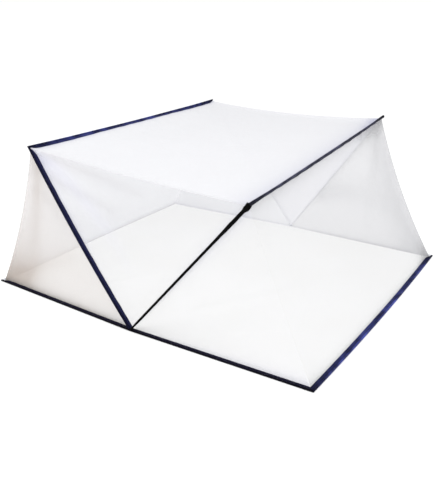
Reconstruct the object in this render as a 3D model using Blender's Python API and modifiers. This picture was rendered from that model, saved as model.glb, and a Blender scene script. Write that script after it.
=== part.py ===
"""Folding bed mosquito net: four U-shaped wire hoops in stitched binding, fanned out on one fold axis across the
bed, with net panels between them and a cloth floor. Metres, +Z up. The origin is the centre of the base on the
floor, +X runs towards the foot end and -Y is the near side."""

import math

import bmesh
import bpy
from mathutils import Vector

# Driving dimensions
BASE_LENGTH = 1.95
BASE_WIDTH = 1.60
AXIS_X = 0.02  # the fold axis lies a little towards the foot end
HINGE_OUT = 0.03  # the side wires splay out from the base's corners to their hinges
LEG_RUN = {"head": 1.012, "foot": 0.987}  # the side legs, a little over half the base, so that the fan folds flat
LEAN = {  # each leg's angle up from the foot end's floor; the light wire leaves the hoops slightly twisted
    ("head", "near"): math.radians(126.1),
    ("head", "far"): math.radians(127.7),
    ("foot", "near"): math.radians(48.5),
    ("foot", "far"): math.radians(53.7),
}

TAPE_WIDTH = 0.029
BEAD = 0.009  # the binding's thickness over the hoop's wire, along its outer edge
FLANGE = 0.002  # its stitched part: two layers of tape with the net's edge between
FLANGE_START = 0.011  # in from the outer edge
BEAD_STEPS = 8
NET = 0.001
GAP = 0.0003
AXIS_HEIGHT = BEAD / 2

NET_INSET = 0.027  # from a bar's outer edge to the line where the net meets it
EDGE_ROOM = GAP + 0.1 * NET  # the net's edge is cut square to a sheet that curves a little
GUSSET_OFFSET = FLANGE / 2 + EDGE_ROOM  # from a hoop's middle plane to a gusset's edge
GUSSET_FOOT = FLANGE + EDGE_ROOM
SLANT_ROOM = 0.35 * NET  # more for a panel that meets the binding at a slant
TURN_ROOM = 0.3 * NET  # and more again along the flange that the net turns most
SEAM_RETREAT = 0.0009  # two panels that share a free seam each stop this short of it
FLOOR_GAP = 0.0005
HINGE_START = 0.016  # the gussets' points stop this short of the fold axis
BAR_SPANS = {"straight": 8, "turned": 16}

# A loose wire bows between its corners. These are outward in the hoop's plane, at mid-span.
BOW = {"base_head": 0.013, "base_foot": 0.013, "head_top": -0.010, "foot_top": -0.003, "head_leg": 0.012,
       "foot_leg": 0.0}
# The net turns the top bars' flanges out of their hoop's plane, towards the foot end. A turn eases in from each
# corner over this share of the bar's length.
TURN = {"head": math.radians(-38), "foot": math.radians(-8)}
TURN_EASE = 0.35
# The net's tension draws each free seam in towards the middle of both panels that it joins.
DRAW = {"top": 0.021, "end": 0.020}

# The foot hoop's near leg is bound more thickly towards its top corner, where the tape is bunched into a knob. These
# are the bead's sections: how far back from the corner, and how much wider and thicker than the plain bead.
KNOB_RINGS = (
    {"back": 0.420, "wide": 1.0, "thick": 1.0},
    {"back": 0.300, "wide": 1.1, "thick": 1.15},
    {"back": 0.220, "wide": 1.2, "thick": 1.35},
    {"back": 0.140, "wide": 1.4, "thick": 1.75},
    {"back": 0.040, "wide": 1.4, "thick": 1.75},
    {"back": 0.024, "wide": 1.9, "thick": 2.2},
    {"back": 0.010, "wide": 2.0, "thick": 2.4},
)

# Soft creases: each is a run across its panel from (u0, v0) to (u1, v1), in shares of the panel's sides. It fades
# to nothing over its half-width, and its height is in metres along the panel's normal.
CREASES = {
    "head_panel": (
        {"u0": 1.00, "v0": 0.00, "u1": 0.10, "v1": 0.90, "half_width": 0.28, "height": -0.012},
        {"u0": 0.85, "v0": 0.00, "u1": 0.25, "v1": 0.62, "half_width": 0.18, "height": 0.008},
    ),
    "roof_panel": (
        {"u0": 0.00, "v0": 0.10, "u1": 0.95, "v1": 0.95, "half_width": 0.32, "height": 0.006},
    ),
    "far_foot_gusset": (
        {"u0": 0.10, "v0": 0.85, "u1": 1.00, "v1": 0.60, "half_width": 0.26, "height": 0.008},
    ),
    "floor_sheet": (
        {"u0": 0.58, "v0": 0.24, "u1": 0.82, "v1": 0.55, "half_width": 0.13, "height": 0.006},
        {"u0": 0.26, "v0": 0.15, "u1": 0.38, "v1": 0.42, "half_width": 0.12, "height": 0.005},
        {"u0": 0.74, "v0": 0.12, "u1": 0.64, "v1": 0.34, "half_width": 0.12, "height": 0.005},
    ),
}
CELLS = {"roof_panel": 16, "head_panel": 16, "foot_panel": 12, "floor_sheet": 12}
GUSSET_CELLS = 9

COLOURS = {
    "navy_binding": {"colour": (0.020, 0.022, 0.075, 1.0), "roughness": 0.55},
    "black_binding": {"colour": (0.006, 0.006, 0.008, 1.0), "roughness": 0.60},
    "white_binding": {"colour": (0.86, 0.86, 0.87, 1.0), "roughness": 0.65},
    "net": {"colour": (0.90, 0.91, 0.94, 1.0), "roughness": 0.70},
    "floor_cloth": {"colour": (0.92, 0.92, 0.92, 1.0), "roughness": 0.80},
}

SIDES = {"near": -1, "far": 1}
ENDS = {"head": -1, "foot": 1}
Y_AXIS = Vector((0, 1, 0))
Z_AXIS = Vector((0, 0, 1))


def clear_scene():
    for old in list(bpy.data.objects):
        bpy.data.objects.remove(old, do_unlink=True)


def new_material(name):
    material = bpy.data.materials.new(name)
    material.use_nodes = True
    shader = material.node_tree.nodes["Principled BSDF"]
    shader.inputs["Base Color"].default_value = COLOURS[name]["colour"]
    shader.inputs["Roughness"].default_value = COLOURS[name]["roughness"]
    shader.inputs["Metallic"].default_value = 0.0
    return material


def add_object(name, shape, collection, material):
    mesh = bpy.data.meshes.new(name)
    shape.to_mesh(mesh)
    shape.free()
    mesh.materials.append(material)
    mesh.shade_smooth()
    mesh.set_sharp_from_angle(angle=math.radians(40))
    obj = bpy.data.objects.new(name, mesh)
    collection.objects.link(obj)
    return obj


# The hoops. Each bar of a hoop runs along its outer edge from one corner to the next, with the bead over the wire
# outermost and the flat flange inward from it.


def leg_direction(end, side):
    lean = LEAN[end, side]
    return Vector((math.cos(lean), 0, math.sin(lean)))


def leg_normal(end, side):
    """Square to the leg in its side plane, towards the head end's floor."""
    lean = LEAN[end, side]
    return Vector((-math.sin(lean), 0, math.cos(lean)))


def hinge(side, height=AXIS_HEIGHT):
    return Vector((AXIS_X, SIDES[side] * (BASE_WIDTH / 2 + HINGE_OUT), height))


def top_corner(end, side):
    foot = Vector((AXIS_X, SIDES[side] * BASE_WIDTH / 2, AXIS_HEIGHT))
    return foot + leg_direction(end, side) * LEG_RUN[end]


def base_corner(end, side):
    return Vector((ENDS[end] * BASE_LENGTH / 2, SIDES[side] * BASE_WIDTH / 2, 0))


def make_bar(start, stop, inward, normal, bow=0.0, turn=0.0):
    """inward and normal are pairs: at the bar's start and at its stop. At a corner, inward is the next bar's run."""
    return {"start": start, "stop": stop, "inward": inward, "normal": normal, "bow": bow, "turn": turn,
            "length": (stop - start).length}


def smooth(share):
    share = min(max(share, 0.0), 1.0)
    return share * share * (3 - 2 * share)


def bar_point(bar, along, inset, height):
    share = along / bar["length"]
    inward = bar["inward"][0].lerp(bar["inward"][1], share).normalized()
    normal = bar["normal"][0].lerp(bar["normal"][1], share).normalized()
    outward = bar["bow"] * 4 * share * (1 - share)
    edge = bar["start"].lerp(bar["stop"], share) - inward * outward
    angle = bar["turn"] * smooth(share / TURN_EASE) * smooth((1 - share) / TURN_EASE)
    across = inset * math.cos(angle) - height * math.sin(angle)
    up = inset * math.sin(angle) + height * math.cos(angle)
    return edge + inward * across + normal * up


def towards_hinge(bar):
    """A side bar's direction away from its corner."""
    return (bar["start"] - bar["stop"]).normalized()


def hoop_bars():
    bars = {}
    for end in ENDS:
        across = (top_corner(end, "far") - top_corner(end, "near")).normalized()
        for side, sign in SIDES.items():
            inward = -sign * Y_AXIS
            normal = leg_normal(end, side)
            twisted = (normal - across * normal.dot(across)).normalized()
            bars[f"{end}_hoop_{side}_leg"] = make_bar(
                hinge(side), top_corner(end, side), (inward, -sign * across), (normal, twisted), BOW[f"{end}_leg"]
            )
            bars[f"base_{end}_{side}_bar"] = make_bar(
                hinge(side, 0), base_corner(end, side), (inward, inward), (Z_AXIS, Z_AXIS)
            )
        bars[f"{end}_hoop_top_bar"] = make_bar(
            top_corner(end, "near"),
            top_corner(end, "far"),
            [towards_hinge(bars[f"{end}_hoop_{side}_leg"]) for side in SIDES],
            (leg_normal(end, "near"), leg_normal(end, "far")),
            BOW[f"{end}_top"],
            TURN[end],
        )
        bars[f"base_{end}_end_bar"] = make_bar(
            base_corner(end, "near"),
            base_corner(end, "far"),
            [towards_hinge(bars[f"base_{end}_{side}_bar"]) for side in SIDES],
            (Z_AXIS, Z_AXIS),
            BOW[f"base_{end}"],
        )
    return bars


def round_profile():
    """An upright hoop's section, as (inset, height): a bead and a flat flange, alike on both faces."""
    radius = BEAD / 2
    join = math.asin(FLANGE / BEAD)
    turn = (2 * math.pi - 2 * join) / BEAD_STEPS
    angles = [join + turn * step for step in range(BEAD_STEPS + 1)]
    bead = [(radius + radius * math.cos(angle), radius * math.sin(angle)) for angle in angles]
    face = FLANGE / 2
    return [(TAPE_WIDTH, face), (FLANGE_START, face), *bead, (FLANGE_START, -face), (TAPE_WIDTH, -face)]


def flat_profile():
    """A base hoop's section: the same bead and flange, pressed flat underneath."""
    radius = BEAD / 2
    join = math.asin((FLANGE - radius) / radius)
    underside = math.radians(235)
    turn = (underside - join) / (BEAD_STEPS - 1)
    angles = [join + turn * step for step in range(BEAD_STEPS)]
    bead = [(radius + radius * math.cos(angle), radius + radius * math.sin(angle)) for angle in angles]
    return [(TAPE_WIDTH, FLANGE), (FLANGE_START, FLANGE), *bead, (radius * 0.6, 0.0), (FLANGE_START, 0.0),
            (TAPE_WIDTH, 0.0)]


def mitre_slope(bar):
    """How far a mitred end runs along the bar for each metre in from its outer edge."""
    return 1 / (1 + 4 * bar["bow"] / bar["length"])


def hinge_start(end, side, inset, height):
    """How far up a leg its lower end starts: clear of the base binding and of the other hoop's leg."""
    lean = LEAN[end, side]
    bisector = (LEAN["head", side] + LEAN["foot", side]) / 2
    base_top = FLANGE if inset >= FLANGE_START else BEAD
    over_base = (base_top + GAP - AXIS_HEIGHT - height * math.cos(lean)) / math.sin(lean)
    apart = abs(lean - bisector)
    towards_other = height * math.cos(apart) * (1 if lean < bisector else -1)
    return max(over_base, (GAP / 2 + towards_other) / math.sin(apart))


def ring(bar, profile, along, slope=0.0, wide=1.0, thick=1.0):
    """One section of a bar. Only its bead is made wider and thicker, and the flange stays as it is."""
    points = []
    for inset, height in profile:
        if inset < FLANGE_START:
            inset, height = inset * wide, height * thick
        points.append(bar_point(bar, along + slope * inset, inset, height))
    return points


def loft(rings):
    """A closed bar through these sections. Each end is filled by a ladder from one face of the tape to the other."""
    shape = bmesh.new()
    rows = [[shape.verts.new(point) for point in points] for points in rings]
    count = len(rows[0])
    for row, following in zip(rows, rows[1:]):
        for at in range(count):
            after = (at + 1) % count
            shape.faces.new((row[at], row[after], following[after], following[at]))
    for row in (rows[0], rows[-1]):
        for at in range(count // 2):
            corners = (row[at], row[at + 1], row[count - 2 - at], row[count - 1 - at])
            shape.faces.new(dict.fromkeys(corners))
    bmesh.ops.recalc_face_normals(shape, faces=shape.faces)
    return shape


def middle_rings(bar, profile, room=0.0):
    """The plain sections between a bar's ends, but for those within this room of its stop."""
    spans = BAR_SPANS["turned" if bar["turn"] else "straight"]
    places = [bar["length"] * step / spans for step in range(1, spans)]
    return [ring(bar, profile, along) for along in places if along < bar["length"] - room]


def leg_shape(bars, end, side):
    bar = bars[f"{end}_hoop_{side}_leg"]
    slope = -mitre_slope(bar)
    profile = round_profile()
    start = [bar_point(bar, hinge_start(end, side, *place), *place) for place in profile]
    knob = KNOB_RINGS if (end, side) == ("foot", "near") else ()
    swollen = [ring(bar, profile, bar["length"] - at["back"], slope, at["wide"], at["thick"]) for at in knob]
    finish = ring(bar, profile, bar["length"] - GAP, slope)
    return loft([start, *middle_rings(bar, profile, knob[0]["back"] if knob else 0.0), *swollen, finish])


def cross_bar_shape(bar, profile):
    """A bar across the bed, mitred to the bars along both sides."""
    slope = mitre_slope(bar)
    start = ring(bar, profile, GAP, slope)
    finish = ring(bar, profile, bar["length"] - GAP, -slope)
    return loft([start, *middle_rings(bar, profile), finish])


def base_side_shape(bars, end, side):
    bar = bars[f"base_{end}_{side}_bar"]
    profile = flat_profile()
    start = ring(bar, profile, GAP / 2)
    finish = ring(bar, profile, bar["length"] - GAP, -mitre_slope(bar))
    return loft([start, *middle_rings(bar, profile), finish])


# The panels. Each is a four-sided patch of net. Its sides are curves: along a bar, following its bow, or along a
# free seam, which is drawn in.


def bar_side(bar, height, start_tuck, stop_tuck, inset=NET_INSET):
    """A side along a bar, between points that lie these tucks in from its two ends."""
    run = bar["length"] - start_tuck - stop_tuck
    return lambda share: bar_point(bar, start_tuck + run * share, inset, height)


def seam_side(one, other, draw):
    """A side between two points, drawn in at its middle by this vector."""
    return lambda share: one.lerp(other, share) + draw * (4 * share * (1 - share))


def bent_side(one, middle, other):
    """A side of two straight halves."""
    return lambda share: one.lerp(middle, 2 * share) if share < 0.5 else middle.lerp(other, 2 * share - 1)


def seam_draw(one, other, side, amount):
    """A free seam's pull: in across the bed, and towards the fold axis in the side plane."""
    run = (other - one).normalized()
    middle = (one + other) / 2
    to_axis = Vector((AXIS_X - middle.x, 0, -middle.z))
    to_axis -= run * to_axis.dot(run)
    return (to_axis.normalized() - SIDES[side] * Y_AXIS) * amount


def patch_point(sides, u, v):
    """A point of the surface that blends the four sides. The sides at u=0 and u=1 run along v, the others along u."""
    between = sides["u0"](v).lerp(sides["u1"](v), u) + sides["v0"](u).lerp(sides["v1"](u), v)
    corners = sides["u0"](0).lerp(sides["u1"](0), u).lerp(sides["u0"](1).lerp(sides["u1"](1), u), v)
    return between - corners


def crease_height(name, u, v):
    """The sum of a panel's creases here. They fade out towards its sides, where the net is held."""
    total = 0.0
    for crease in CREASES.get(name, ()):
        run_u = crease["u1"] - crease["u0"]
        run_v = crease["v1"] - crease["v0"]
        share = ((u - crease["u0"]) * run_u + (v - crease["v0"]) * run_v) / (run_u**2 + run_v**2)
        share = min(max(share, 0.0), 1.0)
        distance = math.hypot(u - crease["u0"] - run_u * share, v - crease["v0"] - run_v * share)
        total += crease["height"] * max(0.0, 1 - (distance / crease["half_width"]) ** 2) ** 2
    return total * min(1.0, 16 * u * (1 - u) * v * (1 - v))


def panel_shape(name, sides, cells):
    """A grid laid over the patch, with its creases raised along the panel's normal."""
    shape = bmesh.new()
    bmesh.ops.create_grid(shape, x_segments=cells, y_segments=cells, size=0.5)
    diagonals = [patch_point(sides, 1, 1) - patch_point(sides, 0, 0),
                 patch_point(sides, 0, 1) - patch_point(sides, 1, 0)]
    normal = diagonals[0].cross(diagonals[1]).normalized()
    for vert in shape.verts:
        u = vert.co.x + 0.5
        v = vert.co.y + 0.5
        vert.co = patch_point(sides, u, v) + normal * crease_height(name, u, v)
    return shape


def cross_panel(name, start, stop, draw):
    """A panel across the whole bed. start and stop are its two bars, each with the net's height over it."""
    tuck = NET_INSET + SEAM_RETREAT
    sides = {"u0": bar_side(*start, tuck, tuck), "u1": bar_side(*stop, tuck, tuck)}
    for key, side, share in (("v0", "near", 0), ("v1", "far", 1)):
        ends = sides["u0"](share), sides["u1"](share)
        sides[key] = seam_side(*ends, seam_draw(*ends, side, draw))
    return panel_shape(name, sides, CELLS[name])


def gusset(name, side, lower, upper, draw):
    """A side panel between two bars that fan out from the hinge. u runs out along them, v from lower to upper."""
    tuck = NET_INSET + SEAM_RETREAT
    sides = {"v0": bar_side(*lower, HINGE_START, tuck), "v1": bar_side(*upper, HINGE_START, tuck)}
    sides["u0"] = seam_side(sides["v0"](0), sides["v1"](0), Vector((0, 0, 0)))
    ends = sides["v0"](1), sides["v1"](1)
    sides["u1"] = seam_side(*ends, seam_draw(*ends, side, draw))
    return panel_shape(name, sides, GUSSET_CELLS)


def floor_shape(bars):
    """The floor's mid surface. It lies flat within the base binding and rises only where it creases."""
    inset = TAPE_WIDTH + FLOOR_GAP
    sides = {
        key: bar_side(bars[f"base_{end}_end_bar"], NET / 2, inset, inset, inset)
        for key, end in (("u0", "head"), ("u1", "foot"))
    }
    for key, side, share in (("v0", "near", 0), ("v1", "far", 1)):
        beside_hinge = hinge(side, NET / 2) - SIDES[side] * inset * Y_AXIS
        sides[key] = bent_side(sides["u0"](share), beside_hinge, sides["u1"](share))
    return panel_shape("floor_sheet", sides, CELLS["floor_sheet"])


def panel_shapes(bars):
    """Every panel's mid surface, by name. A height over a hoop is positive on its head side."""
    slanted = GUSSET_OFFSET + SLANT_ROOM
    foot_slanted = GUSSET_FOOT + SLANT_ROOM
    head_top = bars["head_hoop_top_bar"]
    foot_top = bars["foot_hoop_top_bar"]
    turned = slanted + TURN_ROOM
    across = {
        "roof_panel": ((head_top, -turned), (foot_top, slanted), DRAW["top"]),
        "head_panel": ((bars["base_head_end_bar"], foot_slanted), (head_top, turned), DRAW["end"]),
        "foot_panel": ((bars["base_foot_end_bar"], foot_slanted), (foot_top, -slanted), DRAW["end"]),
    }
    shapes = {name: cross_panel(name, *places) for name, places in across.items()}
    shapes["floor_sheet"] = floor_shape(bars)
    for side in SIDES:
        head_leg = bars[f"head_hoop_{side}_leg"]
        foot_leg = bars[f"foot_hoop_{side}_leg"]
        head_base = bars[f"base_head_{side}_bar"]
        foot_base = bars[f"base_foot_{side}_bar"]
        between = {
            "head": ((head_base, GUSSET_FOOT), (head_leg, GUSSET_OFFSET), DRAW["end"]),
            "mid": ((foot_leg, GUSSET_OFFSET), (head_leg, -GUSSET_OFFSET), DRAW["top"]),
            "foot": ((foot_base, GUSSET_FOOT), (foot_leg, -GUSSET_OFFSET), DRAW["end"]),
        }
        for part, places in between.items():
            name = f"{side}_{part}_gusset"
            shapes[name] = gusset(name, side, *places)
    return shapes


def add_sheet(name, shape, collection, material):
    """A panel with its thickness, once its faces all turn the same way."""
    bmesh.ops.recalc_face_normals(shape, faces=shape.faces)
    obj = add_object(name, shape, collection, material)
    thickness = obj.modifiers.new("thickness", "SOLIDIFY")
    thickness.thickness = NET
    thickness.offset = 0.0
    thickness.use_even_offset = True
    return obj


def bar_material(name):
    if name == "foot_hoop_near_leg":
        return "black_binding"
    pale = "far" in name or name == "base_head_end_bar"
    return "white_binding" if pale else "navy_binding"


def bar_shapes(bars):
    shapes = {}
    for end in ENDS:
        for name, profile in ((f"{end}_hoop_top_bar", round_profile()), (f"base_{end}_end_bar", flat_profile())):
            shapes[name] = cross_bar_shape(bars[name], profile)
        for side in SIDES:
            shapes[f"{end}_hoop_{side}_leg"] = leg_shape(bars, end, side)
            shapes[f"base_{end}_{side}_bar"] = base_side_shape(bars, end, side)
    return shapes


def build():
    clear_scene()
    collection = bpy.data.collections.new("folding_mosquito_net")
    bpy.context.scene.collection.children.link(collection)
    materials = {name: new_material(name) for name in COLOURS}
    bars = hoop_bars()
    for name, shape in bar_shapes(bars).items():
        add_object(name, shape, collection, materials[bar_material(name)])
    for name, shape in panel_shapes(bars).items():
        cloth = "floor_cloth" if name == "floor_sheet" else "net"
        add_sheet(name, shape, collection, materials[cloth])


build()
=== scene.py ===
# Folding bed mosquito net: woven tape stitched over the hoops' wire, sheer net between them, a cloth floor.
# Metres, +Z up. +X runs towards the foot end, and -Y is the near side.

import math

import bmesh
import bpy
from mathutils import Matrix, Vector


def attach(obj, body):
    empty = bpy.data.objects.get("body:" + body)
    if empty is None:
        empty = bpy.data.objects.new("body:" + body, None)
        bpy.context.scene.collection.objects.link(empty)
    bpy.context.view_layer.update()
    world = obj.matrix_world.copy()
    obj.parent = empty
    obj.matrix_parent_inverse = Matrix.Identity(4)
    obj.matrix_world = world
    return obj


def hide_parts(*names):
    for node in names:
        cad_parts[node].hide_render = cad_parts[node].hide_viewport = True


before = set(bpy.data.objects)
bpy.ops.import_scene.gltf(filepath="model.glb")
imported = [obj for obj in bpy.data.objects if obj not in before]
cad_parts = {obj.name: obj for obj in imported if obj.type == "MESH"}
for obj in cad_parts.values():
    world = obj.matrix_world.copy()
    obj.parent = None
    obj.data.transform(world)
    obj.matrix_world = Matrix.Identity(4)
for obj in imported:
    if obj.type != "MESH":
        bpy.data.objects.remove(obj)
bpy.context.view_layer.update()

yAxis = Vector((0, 1, 0))
zAxis = Vector((0, 0, 1))
sides = {"near": -1, "far": 1}
ends = {"head": -1, "foot": 1}

hoops = {
    "width": 1.60,
    "length": 1.95,
    "axisX": 0.02,          # the fold axis lies a little towards the foot end
    "hingeOut": 0.03,       # the side wires splay out from the base's corners to their hinges
    "axisHeight": 0.0045,
    "legRun": {"head": 1.012, "foot": 0.987},
    # each leg's angle up from the floor at the foot end; the light wire leaves the hoops slightly twisted
    "lean": {"head_near": 126.1, "head_far": 127.7, "foot_near": 48.5, "foot_far": 53.7},
    # outward bow in the hoop's plane at mid-span
    "bow": {"base_head": 0.013, "base_foot": 0.013, "head_top": -0.010, "foot_top": -0.003, "head_leg": 0.012,
            "foot_leg": 0.0},
    # degrees that the net turns each top bar's flange by, eased in from its corners over this share of it
    "turn": {"head": -38, "foot": -8},
    "turnEase": 0.35,
}

tape = {
    "width": 0.029,         # folded over the wire, outer edge to inner edge
    "bead": 0.009,          # the wire's bulge along the outer edge
    "beadSteps": 10,
    "baseEnd": 235,         # degrees round the wire where a base bar's bead comes down to the floor
    "baseFoot": 0.6,        # where it gets there, as a share of the bead's radius
    "flangeStart": 0.0112,
    "upper": 0.00105,       # outer face of one layer of an upright hoop's flange, from the middle plane
    "slot": 0.00062,        # its inner face; the net's edges go in between
    "baseFaces": (0.0, 0.0004, 0.0017, 0.0021),
    "rings": 110,
    "crowd": 0.45,          # how much closer together the rings lie towards the corners
    "cutBack": {"base": 0.05, "hoop": 0.06},        # the flange is cut back to a corner over this length
    "cornerShare": 0.06,    # and this share of it is left at the corner itself
    "uncut": ("base_foot_near_bar",),               # cut back at neither end
    "uncutStart": ("base_foot_end_bar",),           # nor this one at its start
    "taper": {"head_hoop_top_bar": (0.42, 0.55)},   # share lost at the corners, eased off over a length
    "swell": {"foot_hoop_top_bar": (0.80, 0.14)},   # share the bead gains at the corners, and its reach
    "gap": 0.0003,
    "ripple": {"size": 0.0006, "pitch": 0.13},      # the flange's waves out of its plane
    "waver": {"size": 0.00035, "pitch": 0.09},      # and those of its inner edge
    "secondWave": {"share": 0.6, "turns": 1.64},
    "beadHighlight": {"reach": 0.8, "flange": 0.45},        # painted highlight: the bead is painted brighter than the flange, where it catches more light
    "crease": 42,
}


def smooth(share):
    share = min(max(share, 0.0), 1.0)
    return share * share * (3 - 2 * share)


def pickNone():
    if bpy.context.mode != "OBJECT":
        bpy.ops.object.mode_set(mode="OBJECT")
    bpy.ops.object.select_all(action="DESELECT")


def activeOnly(obj):
    pickNone()
    obj.select_set(True)
    bpy.context.view_layer.objects.active = obj


def openMesh(name):
    piece = bpy.context.object
    piece.name = name
    shape = bmesh.new()
    shape.from_mesh(piece.data)
    return piece, shape


def closeMesh(piece, shape):
    shape.to_mesh(piece.data)
    shape.free()


def addGrid(name, cellsX, cellsY):
    pickNone()
    bpy.ops.mesh.primitive_grid_add(x_subdivisions=cellsX, y_subdivisions=cellsY, size=1, location=(0, 0, 0))
    return openMesh(name)


def addRod(name, around, rings):
    # an upright cylinder of unit size, cut into rings along its length
    pickNone()
    bpy.ops.mesh.primitive_cylinder_add(vertices=around, radius=1, depth=1, end_fill_type="NGON",
                                        location=(0, 0, 0))
    piece, shape = openMesh(name)
    upright = [edge for edge in shape.edges if abs(edge.verts[0].co.z - edge.verts[1].co.z) > 0.5]
    bmesh.ops.subdivide_edges(shape, edges=upright, cuts=rings - 1)
    return piece, shape


def thicken(piece, thickness):
    wall = piece.modifiers.new("thickness", "SOLIDIFY")
    wall.thickness = thickness
    wall.offset = 0
    activeOnly(piece)
    bpy.ops.object.modifier_apply(modifier=wall.name)


def shadeSmooth(piece, crease):
    activeOnly(piece)
    bpy.ops.object.shade_smooth_by_angle(angle=math.radians(crease))


# A bar runs along its outer edge from one corner of its hoop to the next.

def legDirection(end, side):
    lean = math.radians(hoops["lean"][end + "_" + side])
    return Vector((math.cos(lean), 0, math.sin(lean)))


def legNormal(end, side):
    lean = math.radians(hoops["lean"][end + "_" + side])
    return Vector((-math.sin(lean), 0, math.cos(lean)))


def hinge(side, height):
    return Vector((hoops["axisX"], sides[side] * (hoops["width"] / 2 + hoops["hingeOut"]), height))


def topCorner(end, side):
    foot = Vector((hoops["axisX"], sides[side] * hoops["width"] / 2, hoops["axisHeight"]))
    return foot + legDirection(end, side) * hoops["legRun"][end]


def baseCorner(end, side):
    return Vector((ends[end] * hoops["length"] / 2, sides[side] * hoops["width"] / 2, 0))


def seedOf(name):
    return sum(ord(letter) for letter in name)


def makeBar(name, start, stop, inward, normal, bow=0.0, turn=0.0):
    return {"name": name, "start": start, "stop": stop, "inward": inward, "normal": normal, "bow": bow,
            "turn": math.radians(turn), "base": name.startswith("base"), "length": (stop - start).length,
            "tucks": {}, "seed": seedOf(name)}


def barPoint(bar, along, inset, height):
    share = along / bar["length"]
    inward = bar["inward"][0].lerp(bar["inward"][1], share).normalized()
    normal = bar["normal"][0].lerp(bar["normal"][1], share).normalized()
    outward = bar["bow"] * 4 * share * (1 - share)
    angle = bar["turn"] * smooth(share / hoops["turnEase"]) * smooth((1 - share) / hoops["turnEase"])
    across = inset * math.cos(angle) - height * math.sin(angle) - outward
    up = inset * math.sin(angle) + height * math.cos(angle)
    return bar["start"].lerp(bar["stop"], share) + inward * across + normal * up


def towardsHinge(bar):
    return (bar["start"] - bar["stop"]).normalized()


def layOutBars():
    # at a corner, a bar's inward direction is the next bar's run
    bars = {}
    for end in ends:
        across = (topCorner(end, "far") - topCorner(end, "near")).normalized()
        for side, sign in sides.items():
            inward = -sign * yAxis
            normal = legNormal(end, side)
            twisted = (normal - across * normal.dot(across)).normalized()
            name = f"{end}_hoop_{side}_leg"
            bars[name] = makeBar(name, hinge(side, hoops["axisHeight"]), topCorner(end, side),
                                 (inward, -sign * across), (normal, twisted), hoops["bow"][end + "_leg"])
            name = f"base_{end}_{side}_bar"
            bars[name] = makeBar(name, hinge(side, 0), baseCorner(end, side), (inward, inward),
                                 (zAxis, zAxis))
        name = f"{end}_hoop_top_bar"
        bars[name] = makeBar(name, topCorner(end, "near"), topCorner(end, "far"),
                             [towardsHinge(bars[f"{end}_hoop_{side}_leg"]) for side in sides],
                             (legNormal(end, "near"), legNormal(end, "far")), hoops["bow"][end + "_top"],
                             hoops["turn"][end])
        name = f"base_{end}_end_bar"
        bars[name] = makeBar(name, baseCorner(end, "near"), baseCorner(end, "far"),
                             [towardsHinge(bars[f"base_{end}_{side}_bar"]) for side in sides],
                             (zAxis, zAxis), hoops["bow"]["base_" + end])
    return bars


def mitreSlope(bar):
    # a bowed bar leaves its corners at a slant
    return 1 / (1 + 4 * bar["bow"] / bar["length"])


def hasHinge(bar):
    return not bar["name"].endswith(("end_bar", "top_bar"))


def tapeProfile(base):
    # the folded tape's outline, as (inset, height): outer face, bead, other face, then the slot for the net
    radius = tape["bead"] / 2
    wide, start = tape["width"], tape["flangeStart"]
    low, lowIn, highIn, high = tape["baseFaces"] if base else (
        -tape["upper"], -tape["slot"], tape["slot"], tape["upper"])
    centre = radius if base else 0.0
    first = math.asin((high - centre) / radius)
    last = math.radians(tape["baseEnd"]) if base else 2 * math.pi - first
    steps = tape["beadSteps"]
    outline = [(wide, high), ((wide + start) / 2, high), (start, high)]
    for step in range(steps):
        angle = first + (last - first) * step / (steps - 1)
        outline.append((radius + radius * math.cos(angle), centre + radius * math.sin(angle)))
    if base:
        outline.append((radius * tape["baseFoot"], low))
    outline += [(start, low), ((wide + start) / 2, low), (wide, low)]
    outline += [(wide, lowIn), ((wide + start) / 2, lowIn), (start, lowIn)]
    outline += [(start, highIn), ((wide + start) / 2, highIn), (wide, highIn)]
    return outline


def flangeShare(bar, along):
    # the base's near foot corner is the one that isn't cut back
    if bar["name"] in tape["uncut"]:
        return 1.0
    fromCorner = bar["length"] - along
    if not hasHinge(bar) and bar["name"] not in tape["uncutStart"]:
        fromCorner = min(fromCorner, along)
    reach = tape["cutBack"]["base" if bar["base"] else "hoop"]
    share = tape["cornerShare"] + (1 - tape["cornerShare"]) * smooth(fromCorner / reach)
    lost, over = tape["taper"].get(bar["name"], (0, 1))
    return share * (1 - lost * (1 - smooth(fromCorner / over)))


def wave(bar, along, about):
    second = tape["secondWave"]
    turn = 2 * math.pi * along / about["pitch"] + bar["seed"]
    return about["size"] * (math.sin(turn) + second["share"] * math.sin(second["turns"] * turn + bar["seed"]))


def flangeLift(bar, along, inset):
    # an upright hoop's flange ripples more towards its inner edge
    if bar["base"] or inset <= tape["flangeStart"]:
        return 0.0
    share = (inset - tape["flangeStart"]) / (tape["width"] - tape["flangeStart"])
    return wave(bar, along, tape["ripple"]) * share


def hingeStart(bar, inset, height):
    # a leg starts clear of the base tape and of the other hoop's leg
    end, _, side, _ = bar["name"].split("_")
    lean = math.radians(hoops["lean"][end + "_" + side])
    bisector = math.radians(hoops["lean"]["head_" + side] + hoops["lean"]["foot_" + side]) / 2
    baseTop = tape["baseFaces"][3] if inset >= tape["flangeStart"] else tape["bead"]
    overBase = (baseTop + tape["gap"] - hoops["axisHeight"] - height * math.cos(lean)) / math.sin(lean)
    apart = abs(lean - bisector)
    towards = height * math.cos(apart) * (1 if lean < bisector else -1)
    return max(overBase, (tape["gap"] / 2 + towards) / math.sin(apart))


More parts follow.
